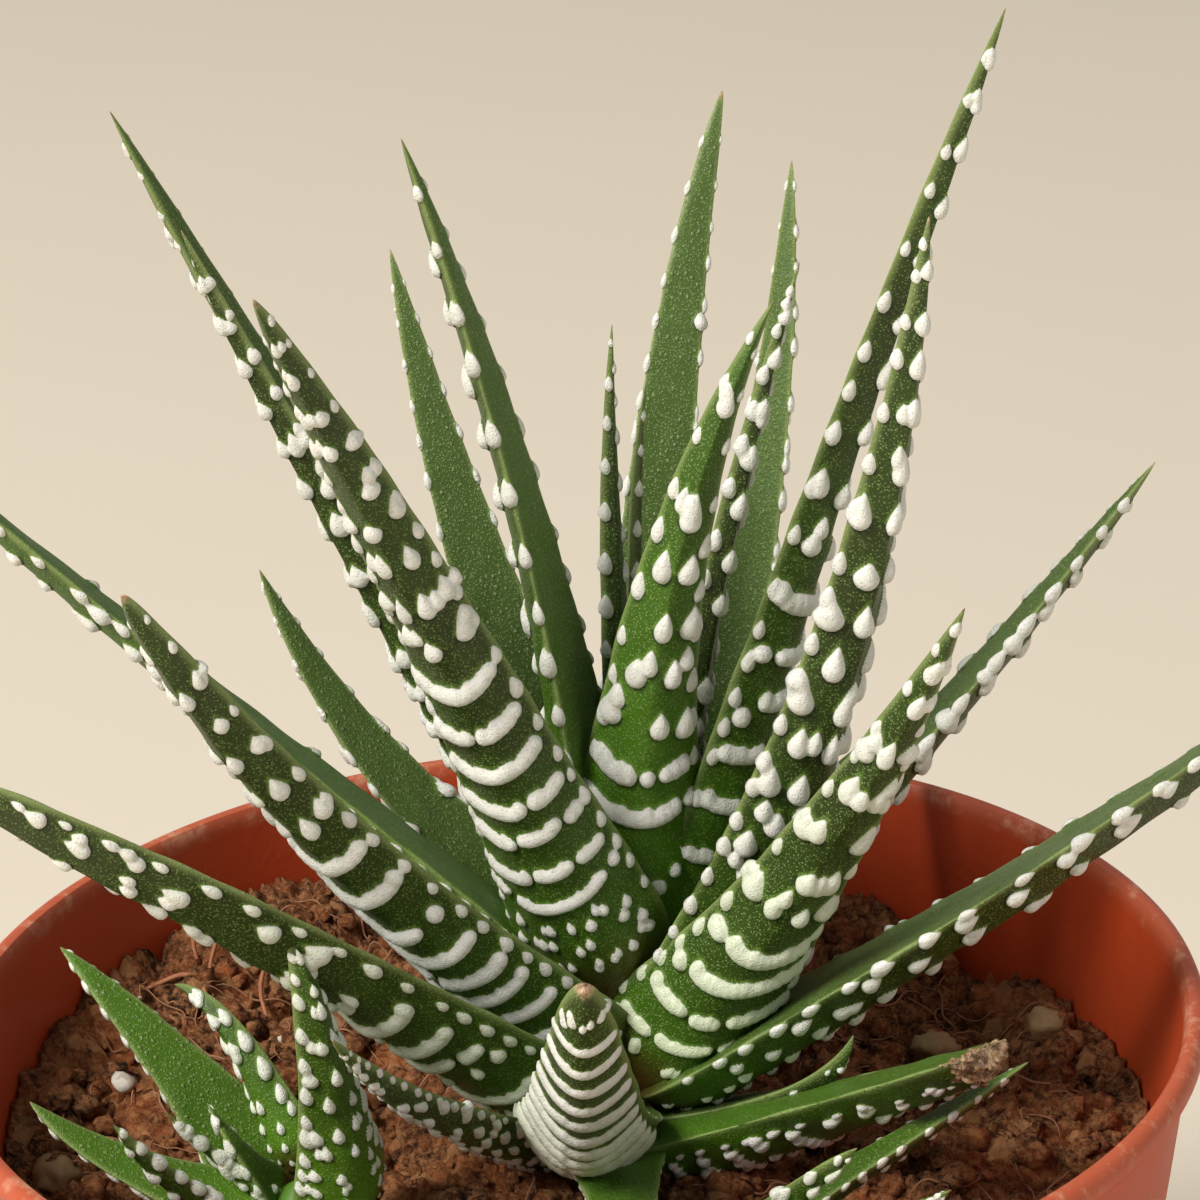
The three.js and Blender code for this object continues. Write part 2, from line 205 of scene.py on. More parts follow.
clear_selection()
lip_foot = POT_HEIGHT - 2.9
inner_lip = inner_radius(POT_HEIGHT)
foot_radius = BASE_RADIUS - 0.9
bpy.ops.mesh.primitive_circle_add(vertices=160, radius=foot_radius * MM, fill_type="NGON")
pot = bpy.context.object
pot.name = "nursery_pot"
bpy.ops.object.mode_set(mode="EDIT")
bpy.ops.mesh.select_all(action="SELECT")
raise_rings([
    [foot_radius, 0],
    [BASE_RADIUS - 0.35, 0.12],
    [BASE_RADIUS, 0.6],
    [outer_radius(2), 2],
    [outer_radius(20), 20],
    [outer_radius(40), 40],
    [outer_radius(60), 60],
    [outer_radius(80), 80],
    [outer_radius(lip_foot) - 0.1, lip_foot],
    [RIM_RADIUS - 0.55, lip_foot + 0.12],
    [RIM_RADIUS - 0.15, lip_foot + 0.5],
    [RIM_RADIUS, lip_foot + 1.1],
    [RIM_RADIUS - 0.03, lip_foot + 1.8],
    [RIM_RADIUS - 0.3, POT_HEIGHT - 0.4],
    [RIM_RADIUS - 0.75, POT_HEIGHT - 0.08],
    [RIM_RADIUS - 1.2, POT_HEIGHT],
    [inner_lip + 0.4, POT_HEIGHT - 0.15],
    [inner_lip + 0.1, POT_HEIGHT - 0.6],
    [inner_lip - 0.1, POT_HEIGHT - 1.4],
    [inner_radius(80), 80],
    [inner_radius(60), 60],
    [inner_radius(30), 30],
    [inner_radius(FLOOR + 1.5), FLOOR + 1.5],
    [inner_radius(FLOOR) - 0.6, FLOOR + 0.35],
    [inner_radius(FLOOR) - 1.6, FLOOR],
])
close_edit()

for hole in range(DRAIN_HOLES):
    turn = (hole + 0.5) * math.tau / DRAIN_HOLES
    spot = (DRAIN_CIRCLE * MM * math.cos(turn), DRAIN_CIRCLE * MM * math.sin(turn), 0)
    clear_selection()
    bpy.ops.mesh.primitive_cylinder_add(
        vertices=40, radius=DRAIN_RADIUS * MM, depth=4 * FLOOR * MM, location=spot
    )
    drill = bpy.context.object
    select_only(pot)
    cut = pot.modifiers.new("drain", "BOOLEAN")
    cut.object = drill
    cut.operation = "DIFFERENCE"
    bpy.ops.object.modifier_apply(modifier="drain")
    bpy.data.objects.remove(drill)

bpy.ops.object.shade_smooth_by_angle(angle=math.radians(38))
dress(pot, pot_plastic(), "pot", "pot")

# ---- Soil ----
# Moist potting mix of dark peat and coir, poured in loose: it lies in clods, 17 mm below the lip at
# the front and banked up against the wall behind the plant, to the left. It fills the pot to its floor.

SOIL_LEVEL = 77.5
SOIL_MOUND = 2.0
MOUND_SPREAD = 22
SOIL_BANK = 9
BANK_ANGLE = math.radians(120)
CLOD_HEIGHT = 3.0
CLOD_LIFT = 1.9  # what the clods add on average, taken off again
SOIL_GAP = 0.35  # between the soil and the pot's wall
BURIED_LEVEL = 60
BURIED_SHARE = 0.92
FOOT_LEVEL = 3
FOOT_SHARE = 0.84
SOIL_STEPS = 264


def clods(x, y, size, height, seed):
    """Rounded clods with gaps between them, as one layer of the soil's relief."""
    distances, _ = noise.voronoi(Vector((x / size, y / size, seed)))
    return height * math.sqrt(max(0.0, 1 - (distances[0] / 0.8) ** 2))


def soil_height(x, y):
    """The height of the soil's surface, from x and y in millimetres."""
    mound = SOIL_MOUND * math.exp(-(x * x + y * y) / (2 * MOUND_SPREAD ** 2))
    towards = (x * math.cos(BANK_ANGLE) + y * math.sin(BANK_ANGLE)) / RIM_RADIUS
    bank = SOIL_BANK * max(0.0, towards) ** 1.6
    drift_x = x + 2.2 * noise.noise(Vector((x / 5, y / 5, 3.0)))
    drift_y = y + 2.2 * noise.noise(Vector((x / 5, y / 5, 9.0)))
    swell = 1.3 * noise.noise(Vector((x / 13, y / 13, 1.0)))
    big = clods(drift_x, drift_y, 7.0, CLOD_HEIGHT, 0.0)
    middle = clods(drift_x + 40, drift_y, 3.2, 1.1, 5.0)
    small = clods(drift_x, drift_y + 40, 1.5, 0.55, 8.0)
    rough = 0.9 * noise.fractal(Vector((x * 0.9, y * 0.9, 4.0)), 0.7, 2.1, 4)
    ground = SOIL_LEVEL - CLOD_LIFT + mound + bank + swell
    return ground + big + middle * (0.4 + 0.6 * big / CLOD_HEIGHT) + small + rough


def potting_mix():
    material, shader, place = new_finish("potting_mix")
    patches = grain(material, place, 170, 6, 0.75)
    fibres = grain(material, place, 1100, 6, 0.8)
    bits = cells(material, place, 900)
    tint = cells(material, place, 520, output=1)
    warm = wire(material, "ShaderNodeSeparateColor", {"Color": tint}, output=0)
    dark = blend_colours(material, ramp(material, patches, 0.4, 0.66), rgb(42, 23, 13), rgb(180, 100, 54))
    colour = blend_colours(material, ramp(material, fibres, 0.44, 0.66), dark, rgb(212, 148, 96))
    pale = multiply(material, ramp(material, warm, 0.8, 0.95), 0.6)
    colour = blend_colours(material, pale, colour, rgb(222, 162, 110))
    relief = add(material, multiply(material, fibres, 1.6), ramp(material, bits, 0.0, 0.5, 0.0, 0.6))
    normal = bumps(material, relief, 0.9, 0.0008)
    finish_with(material, shader, Base_Color=colour, Roughness=0.93, Normal=normal)
    shader.inputs["Specular IOR Level"].default_value = 0.25
    return material


clear_selection()
bpy.ops.mesh.primitive_grid_add(x_subdivisions=SOIL_STEPS, y_subdivisions=SOIL_STEPS, size=2)
soil = bpy.context.object
soil.name = "potting_soil"
reach = inner_radius(SOIL_LEVEL) - SOIL_GAP
for vertex in soil.data.vertices:
    across, back = vertex.co.x, vertex.co.y
    square = max(abs(across), abs(back))
    diagonal = math.hypot(across, back)
    share = square / diagonal if diagonal > 0 else 0.0
    x, y = across * share * reach, back * share * reach
    height = soil_height(x, y)
    widen = (inner_radius(height) - SOIL_GAP) / reach
    vertex.co = Vector((x * widen, y * widen, height)) * MM
bpy.ops.object.mode_set(mode="EDIT")
bpy.ops.mesh.select_all(action="DESELECT")
bpy.ops.mesh.select_mode(type="VERT")
bpy.ops.mesh.select_non_manifold()
bpy.ops.mesh.extrude_region_move(TRANSFORM_OT_translate={"value": (0, 0, -8 * MM)})
flat = (BURIED_SHARE, BURIED_SHARE, 0.0)
bpy.ops.transform.resize(value=flat, center_override=(0, 0, BURIED_LEVEL * MM))
drop = (0, 0, (FOOT_LEVEL - BURIED_LEVEL) * MM)
bpy.ops.mesh.extrude_region_move(TRANSFORM_OT_translate={"value": drop})
bpy.ops.transform.resize(value=(FOOT_SHARE, FOOT_SHARE, 1), center_override=(0, 0, 0))
bpy.ops.mesh.fill()
close_edit()
bpy.ops.object.shade_smooth()
mix = potting_mix()
dress(soil, mix, "soil", "soil")

# ---- Crumbs, perlite and pebbles ----
# Loose bits of the mix that lie on its surface: dark peat crumbs, white perlite, and a few olive and
# ochre pebbles. Each kind is modelled a few times and strewn in copies.

LOOSE_EDGE = 52


def rough_stone(name, detail, squash, depth, size, seed):
    """One unit stone: an icosphere, flattened and knocked out of shape."""
    clear_selection()
    bpy.ops.mesh.primitive_ico_sphere_add(subdivisions=detail, radius=1)
    stone = bpy.context.object
    stone.name = name
    for vertex in stone.data.vertices:
        offset = noise.noise(vertex.co * size + Vector((seed, 0, 0)))
        vertex.co *= 1 + depth * offset
        vertex.co.z *= squash
    return stone


def strew(name, models, places, material):
    """Copies the models to the places, each (x, y, sink, size, turns), and joins them as one piece."""
    points, faces, offset = [], [], 0
    for index, (x, y, sink, size, turns) in enumerate(places):
        model = models[index % len(models)].data
        local = np.empty(len(model.vertices) * 3)
        model.vertices.foreach_get("co", local)
        spin = np.array(Matrix.Rotation(turns[0], 3, "Z") @ Matrix.Rotation(turns[1], 3, "X"))
        centre = np.array([x, y, soil_height(x, y) + size * (0.5 - sink)])
        points.append((local.reshape(-1, 3) @ spin.T * size + centre) * MM)
        faces.extend(tuple(corner + offset for corner in face.vertices) for face in model.polygons)
        offset += len(model.vertices)
    mesh = bpy.data.meshes.new(name)
    mesh.from_pydata(np.concatenate(points).tolist(), [], faces)
    piece = bpy.data.objects.new(name, mesh)
    bpy.context.collection.objects.link(piece)
    for model in models:
        bpy.data.objects.remove(model)
    select_only(piece)
    bpy.ops.object.shade_smooth()
    dress(piece, material, "soil")


def anywhere(random, count, low, high):
    """Random places on the soil: x, y, sink, size and turns."""
    places = []
    for _ in range(count):
        distance = LOOSE_EDGE * math.sqrt(random.uniform())
        turn = random.uniform(0, math.tau)
        size = low + (high - low) * random.uniform() ** 2.2
        turns = (random.uniform(0, math.tau), random.uniform(-0.9, 0.9))
        places.append((distance * math.cos(turn), distance * math.sin(turn), 0.45, size, turns))
    return places


def stone_finish(name, pale, deep, roughness, relief):
    material, shader, place = new_finish(name)
    tone = wire(material, "ShaderNodeSeparateColor", {"Color": cells(material, place, 160, output=1)})
    veins = grain(material, place, 700, 5, 0.7)
    mixed = add(material, multiply(material, tone, 0.6), multiply(material, veins, 0.4))
    colour = blend_colours(material, mixed, deep, pale)
    normal = bumps(material, veins, relief, 0.0004)
    finish_with(material, shader, Base_Color=colour, Roughness=roughness, Normal=normal)
    return material


shaker = np.random.RandomState(11)
crumb_models = [rough_stone(f"crumb_{n}", 2, 0.8, 0.75, 1.9, 7 * n) for n in range(6)]
crumbs = anywhere(shaker, 1600, 0.4, 1.8)
strew("peat_crumbs", crumb_models, crumbs, mix)

perlite_models = [rough_stone(f"perlite_{n}", 2, 0.8, 0.5, 2.2, 31 + 5 * n) for n in range(3)]
perlite = anywhere(shaker, 26, 0.35, 1.1)
perlite += [
    (-45.3, 11.8, 0.4, 1.3, (0.4, 0.2)),
    (-38, 36, 0.4, 1.5, (2.0, 0.5)),
    (-47, 22, 0.4, 1.0, (1.0, 0.1)),
]
chalk = stone_finish("perlite", rgb(232, 226, 214), rgb(176, 160, 140), 0.85, 0.5)
strew("perlite_bits", perlite_models, perlite, chalk)

pebble_models = [rough_stone(f"pebble_{n}", 3, 0.75, 0.55, 1.7, 60 + 5 * n) for n in range(3)]
pebbles = anywhere(shaker, 16, 0.6, 1.5)
pebbles += [
    (-50.5, -3.7, 0.3, 2.2, (0.3, 0.3)),
    (36, 17.8, 0.3, 2.3, (1.2, 0.2)),
    (47.5, 16.6, 0.3, 2.4, (2.2, 0.3)),
    (41, 9, 0.3, 1.6, (0.9, 0.1)),
    (-33, 40, 0.3, 1.9, (2.9, 0.2)),
    (24, 44, 0.3, 1.7, (1.9, 0.2)),
]
olive = stone_finish("pebble_stone", rgb(182, 150, 104), rgb(112, 84, 52), 0.6, 0.3)
strew("pebbles", pebble_models, pebbles, olive)

# ---- Fibres and roots ----
# Hair-thin coir fibres strewn through the mix, and a few dry orange-brown roots of the plant that
# curl out of it at the left and the front right. They are round strands with tapered ends.

FIBRE_EDGE = 51
FIBRE_LIMIT = 53
FIBRE_STEPS = 7


def strands(name, routes, material):
    """Round strands along routes of (x, y, z, thickness) points, in millimetres, as one mesh."""
    curve = bpy.data.curves.new(name, "CURVE")
    curve.dimensions = "3D"
    curve.bevel_depth = MM
    curve.bevel_resolution = 1
    curve.resolution_u = 3
    for route in routes:
        spline = curve.splines.new("NURBS")
        spline.points.add(len(route) - 1)
        for point, (x, y, z, thickness) in zip(spline.points, route):
            point.co = (x * MM, y * MM, z * MM, 1)
            point.radius = thickness / 2
        spline.order_u = 4
        spline.use_endpoint_u = True
    curve.use_fill_caps = True
    piece = bpy.data.objects.new(name, curve)
    bpy.context.collection.objects.link(piece)
    select_only(piece)
    bpy.ops.object.convert(target="MESH")
    bpy.ops.object.shade_smooth()
    dress(bpy.context.object, material, "soil")


def wandering(random, length, thickness):
    """A loose strand over the soil, which lifts off it here and there."""
    distance = FIBRE_EDGE * math.sqrt(random.uniform())
    turn = random.uniform(0, math.tau)
    x, y = distance * math.cos(turn), distance * math.sin(turn)
    heading = random.uniform(0, math.tau)
    route = []
    for step in range(FIBRE_STEPS):
        lift = 0.3 + 1.2 * random.uniform() * math.sin(math.pi * step / (FIBRE_STEPS - 1))
        taper = 1 - 0.7 * abs(2 * step / (FIBRE_STEPS - 1) - 1) ** 2
        route.append((x, y, soil_height(x, y) + lift, thickness * taper))
        heading += random.normal(0, 0.55)
        x += length / FIBRE_STEPS * math.cos(heading)
        y += length / FIBRE_STEPS * math.sin(heading)
        if math.hypot(x, y) > FIBRE_LIMIT:
            heading += math.pi
            x, y = 0.96 * x, 0.96 * y
    return route


def root_strand(route):
    """A root's strand from points of (x, y, lift off the soil), thickest at its third point."""
    return [
        (x, y, soil_height(x, y) + lift, 0.62 - 0.08 * abs(step - 2))
        for step, (x, y, lift) in enumerate(route)
    ]


def fibre_finish(name, pale, deep):
    material, shader, place = new_finish(name)
    streak = grain(material, place, 500, 4, 0.7)
    colour = blend_colours(material, streak, deep, pale)
    normal = bumps(material, streak, 0.3, 0.0002)
    finish_with(material, shader, Base_Color=colour, Roughness=0.75, Normal=normal)
    return material


coir = fibre_finish("coir_fibre", rgb(190, 134, 96), rgb(96, 58, 38))
fibres = [wandering(shaker, shaker.uniform(3, 13), shaker.uniform(0.12, 0.3)) for _ in range(330)]
strands("coir_fibres", fibres, coir)

ROOT_ROUTES = [
    [(-39, 32, 0), (-40, 33, 2.6), (-39, 35, 3.6), (-37, 35, 2.4), (-36.5, 32, 1), (-38, 28, 0.6),
     (-37, 24, 0)],
    [(-36, 35, 0), (-33.5, 36, 2.6), (-31.5, 34, 2.8), (-31, 30, 1.6), (-33, 26, 1), (-31.5, 22, 0)],
    [(-44, 26, 0), (-41.5, 27.5, 1.2), (-39.5, 27, 1.6), (-37, 23.5, 0.8), (-37.5, 20, 0)],
    [(-24, 42, 0), (-20.5, 43.5, 1.6), (-16.5, 42, 1.8), (-14.5, 38.5, 0)],
    [(30, -36, 0), (34, -34, 1.2), (38.5, -35, 1.0), (42, -32, 0.3)],
    [(36, -30, 0), (40, -31, 1.5), (44, -28, 1.2), (45.5, -24, 0)],
]
dry_root = fibre_finish("dry_root", rgb(196, 132, 92), rgb(124, 70, 44))
strands("dry_roots", [root_strand(route) for route in ROOT_ROUTES], dry_root)

# ---- Stems ----
# The short woody stem under each rosette, rooted in the soil. It is brown and fibrous, ringed by the
# scars of old leaves, and hidden among the leaf bases.


def stem_bark():
    material, shader, place = new_finish("stem_bark")
    streak = grain(material, place, 420, 6, 0.7)
    colour = blend_colours(material, ramp(material, streak, 0.3, 0.7), rgb(62, 34, 22), rgb(150, 96, 60))
    normal = bumps(material, streak, 0.6, 0.0006)
    finish_with(material, shader, Base_Color=colour, Roughness=0.8, Normal=normal)
    return material


def young_stem():
    material, shader, place = new_finish("young_stem")
    height = wire(material, "ShaderNodeSeparateXYZ", {"Vector": place}, output=2)
    streak = grain(material, place, 300, 4, 0.6)
    sheath = blend_colours(material, streak, rgb(58, 96, 26), rgb(94, 138, 44))
    colour = blend_colours(material, ramp(material, height, 79 * MM, 82 * MM), rgb(110, 76, 44), sheath)
    finish_with(material, shader, Base_Color=colour, Roughness=0.5)
    return material


def make_stem(node, foot, top, profile, material):
    """A turned column from foot to top through rings of [radius, share of its length]."""
    axis = Vector(top) - Vector(foot)
    clear_selection()
    bpy.ops.mesh.primitive_circle_add(vertices=40, radius=profile[0][0] * MM, fill_type="NGON")
    stem = bpy.context.object
    stem.name = node + "_bark"
    bpy.ops.object.mode_set(mode="EDIT")
    bpy.ops.mesh.select_all(action="SELECT")
    raise_rings([[radius, share * axis.length] for radius, share in profile])
    close_edit()
    smooth = stem.modifiers.new("round", "SUBSURF")
    smooth.levels = smooth.render_levels = 2
    bpy.ops.object.modifier_apply(modifier="round")
    lean = Vector((0, 0, 1)).rotation_difference(axis).to_matrix().to_4x4()
    for vertex in stem.data.vertices:
        scar = 0.35 * math.sin(vertex.co.z / MM * 1.9) + 0.5 * noise.noise(vertex.co * 380)
        side = Vector((vertex.co.x, vertex.co.y, 0)).normalized()
        vertex.co += side * scar * MM
    stem.data.transform(Matrix.Translation(Vector(foot) * MM) @ lean)
    bpy.ops.object.shade_smooth()
    dress(stem, material, "stem", node)


bark = stem_bark()
main_column = [[3.6, 0], [5.6, 0.15], [6.6, 0.5], [7.0, 0.75], [5.0, 0.9], [1.8, 0.98]]
offset_column = [[2.3, 0], [3.0, 0.3], [3.2, 0.6], [2.0, 0.8], [0.8, 0.88]]
sprout = young_stem()
make_stem("stem", (3, 2, 62), (7, 9.5, 101), main_column, bark)
make_stem("left_offset_stem", (-25, -12, 68), (-26.5, -13.5, 86), offset_column, sprout)
make_stem("right_offset_stem", (12, -26, 68), (13, -30, 87), offset_column, sprout)

# ---- Leaves ----
# Firm succulent leaves: a nearly flat upper face, a keeled back and a fine point. White tubercles grow
# out of the skin of the back, in scalloped bands low down and as separate teardrops further up, and
# along both margins. Each leaf is one skin, shaped from its centreline, width and the way its back faces.

BACK_STRETCH = 1.25
UPPER_SHARE = 0.22
MARGIN_THICKNESS = 0.35
BLENDING = 6.0
SPECKLES = 3800


def half_width(leaf, t):
    blade = 0.75 * np.maximum(1 - t, 0) ** leaf["taper"]
    sheath = 0.25 * np.exp(-(t / 0.25) ** 2)
    depth, reach = leaf["neck"]
    neck = 1 - depth * np.exp(-(t / reach) ** 2)
    return leaf["width"] / 2 * (blade + sheath) * neck


def centreline(leaf, t):
    """Points and directions of the leaf's centreline, a quadratic curve through root, middle and tip."""
    root, middle, tip = (np.array(leaf[name], float) for name in ("root", "middle", "tip"))
    elbow = 2 * middle - (root + tip) / 2
    t = t[:, None]
    centre = (1 - t) ** 2 * root + 2 * t * (1 - t) * elbow + t ** 2 * tip
    along = 2 * (1 - t) * (elbow - root) + 2 * t * (tip - elbow)
    return centre, along / np.linalg.norm(along, axis=1, keepdims=True)


def unrolled(turn):
    """A turn of 0 to 1 about the leaf, as its place across, -1 to 1, and if it is on the upper face."""
    upper = turn < UPPER_SHARE
    share = np.where(upper, turn / UPPER_SHARE, (turn - UPPER_SHARE) / (1 - UPPER_SHARE))
    rounded = np.cos(np.pi * share)
    even = 1 - 2 * share
    across = np.where(upper, rounded, -(0.35 * rounded + 0.65 * even))
    return np.clip(across, -1, 1), upper


def skin(leaf, t, turn, closing):
    """Points of the smooth skin, without tubercles, in millimetres."""
    across, upper = unrolled(turn % 1.0)
    centre, along = centreline(leaf, t)
    facing = math.radians(leaf["back"])
    level = np.cross([0, 0, 1], [math.cos(facing), math.sin(facing), 0])
    side = level - (along @ level)[:, None] * along
    side /= np.linalg.norm(side, axis=1, keepdims=True)
    out = np.cross(along, side)
    roll = math.radians(leaf["roll"])
    side, out = math.cos(roll) * side + math.sin(roll) * out, math.cos(roll) * out - math.sin(roll) * side
    half = half_width(leaf, t) * closing
    keel = 2 - 0.75 * leaf["keel"] * np.clip((t - 0.1) / 0.5, 0, 1)
    depth = leaf["fat"] * (0.62 + 0.15 * t)
    hollow = 0.06 * (1 - t) - 0.1 * np.sin(np.pi * t)
    edge = MARGIN_THICKNESS * np.minimum(1, half)
    rise = np.sqrt(np.maximum(0, 1 - across ** 2))
    face = np.where(upper, hollow * half * rise ** 2, -depth * half * (1 - np.abs(across) ** keel))
    face += edge * np.where(upper, rise, -rise)
    return centre + side * (half * across)[:, None] + out * face[:, None]


def spacing(leaf, t):
    """The distance to the next row of tubercles: close at the root and wide from the middle on."""
    if leaf["even"]:
        return leaf["pitch"] * (1.2 - 0.5 * t)
    stretch = [leaf["pack"], leaf["pack"] + 0.14, 0.9, 1.2, 1.25, 0.95]
    return leaf["pitch"] * np.interp(t, [0, 0.12, 0.3, 0.45, 0.7, 1], stretch)


def bead_size(leaf, t):
    """Half the size of a tubercle: small at the root, largest towards the middle and small at the tip."""
    if leaf["even"]:
        return leaf["size"] * (1.2 - 0.95 * t)
    growth = [0.5, 0.6, 0.7, 0.85, 1, 1.1, 1.08, 0.82, 0.42]
    return leaf["size"] * np.interp(t, [0, 0.06, 0.12, 0.2, 0.3, 0.45, 0.65, 0.85, 1], growth)


def band_pieces(random, t, even):
    """A band's stretches across the back, -1 to 1, broken more often near the root."""
    if even:
        return [(-0.98, 0.98)]
    chances = [0.05, 0.2, 0.4, 0.35] if t < 0.18 else [0.45, 0.35, 0.2, 0]
    breaks = sorted(random.uniform(-0.75, 0.75) for _ in range(random.choice(4, p=chances)))
    edges = [-0.93, *breaks, 0.93]
    return list(zip(edges[:-1], edges[1:]))


def add_band(found, leaf, distance, reach, size, random):
    """One band: beads fused side by side, with a smooth foot and an uneven scalloped front."""
    t = distance / leaf["length"]
    curl = leaf["curl"] * reach * random.uniform(0.6, 1.3)
    tilt = random.normal(0, 0.08 if leaf["even"] else 0.25) - leaf["slant"] * reach * (1 - t)
    for low, high in band_pieces(random, t, leaf["even"]):
        low, high = low + 0.05, min(high, leaf["cover"]) - 0.75 * size / reach
        if high - low < 0.3 * size / reach:
            continue
        beads = max(1, round((high - low) * reach / (0.7 * size)))
        slide = random.normal(0, 0.04 if leaf["even"] else 0.22 * leaf["wild"])
        for bead in range(beads):
            share = (bead + 0.5) / beads
            across = low + (high - low) * share
            end = abs(2 * share - 1) ** 5 if beads > 2 else 0
            along = distance + slide + curl * abs(across) ** 2.2 + tilt * across + 0.5 * size * end
            scallop = math.sin(1.7 * bead + 9 * slide) + math.sin(2.9 * bead + 5 * tilt)
            point = size * (1.12 + 0.17 * scallop + random.normal(0, 0.06))
            foot = size * (1.0 + 0.07 * math.sin(3 * across + slide * 9))
            height = (0.5 if leaf["even"] else 0.66) * size
            found.append((along, across * reach, 0.8 * size, 0.86 * foot, 0.86 * point, height, 0.12))


def add_dots(found, leaf, distance, reach, size, row, random):
    """One row of separate drops in columns that alternate, some of them fused in twos and threes."""
    t = distance / leaf["length"]
    crowding = leaf["spread"] * min(1, size / leaf["size"] / 0.95)
    count = max(0 if leaf["spread"] > 3 else 1, round(2 * reach / (3.3 * crowding)))
    if count == 0:
        return
    shift = 0.5 if row % 2 else 0.0
    pairing = leaf["pairs"] * (2 if leaf["bands"] < t < leaf["bands"] + 0.12 else 1)
    for column in range(count + (1 if row % 2 else 0)):
        across = (2 * (column + 0.5 - shift) / count - 1) * 0.88 if count > 1 else 0.0
        across = min(max(across + random.normal(0, 0.06), -0.8), 0.8)
        if random.uniform() < 0.08:
            continue
        along = distance + 0.3 * leaf["curl"] * reach * across ** 2 + random.normal(0, 0.35)
        width = size * random.uniform(0.75, 1.05)
        point = size * random.uniform(1.05, 1.5 + 0.8 * t)
        found.append((along, across * reach, width, 0.95 * size, point, 0.68 * size, 0.6))
        if random.uniform() < pairing:
            beside = across * reach + random.choice([-1, 1]) * 1.05 * size
            lifted = along + random.uniform(-0.2, 1.1) * size
            point = random.uniform(0.9, 1.5) * size
            found.append((lifted, beside, 0.8 * width, 0.8 * size, point, 0.62 * size, 0.45))
        elif random.uniform() < 0.2 and t > 0.3:
            above = along + random.uniform(1.0, 1.4) * size
            beside = across * reach + random.choice([-0.45, 0.45]) * size
            found.append((above, beside, 0.75 * width, 0.8 * size, 1.2 * size, 0.6 * size, 0.4))


def tubercles(leaf, random):
    """Every tubercle: along, across, half width, foot, point and height in millimetres, and how much
    it narrows. The foot is its blunt half towards the root, and the point its half towards the tip."""
    found = []
    row = 0
    length = leaf["length"]
    distance = leaf["start"] * length
    while distance < 0.96 * length:
        t = distance / length
        reach = BACK_STRETCH * float(half_width(leaf, np.array(t)))
        size = float(bead_size(leaf, t))
        banded = leaf["low"] < t < leaf["bands"] and random.uniform() < leaf["order"]
        if banded:
            add_band(found, leaf, distance, reach, size, random)
        else:
            add_dots(found, leaf, distance, reach, size, row, random)
        uneven = 1 if leaf["even"] else random.uniform(0.88, 1.12)
        distance += spacing(leaf, t) * uneven * (1 if banded else 0.86)
        row += 1
    for side in (-1, 1):
        distance = 0.12 * length + random.uniform(0, 2)
        while distance < 0.97 * length:
            t = distance / length
            reach = BACK_STRETCH * float(half_width(leaf, np.array(t)))
            size = float(bead_size(leaf, t)) * leaf["teeth"] * random.uniform(0.75, 1.1)
            inset = side * (reach - 0.25 * size)
            found.append((distance, inset, 0.52 * size, 0.8 * size, 1.25 * size, 0.42 * size, 0.4))
            distance += spacing(leaf, t) * random.uniform(0.6, 0.95)
    return found


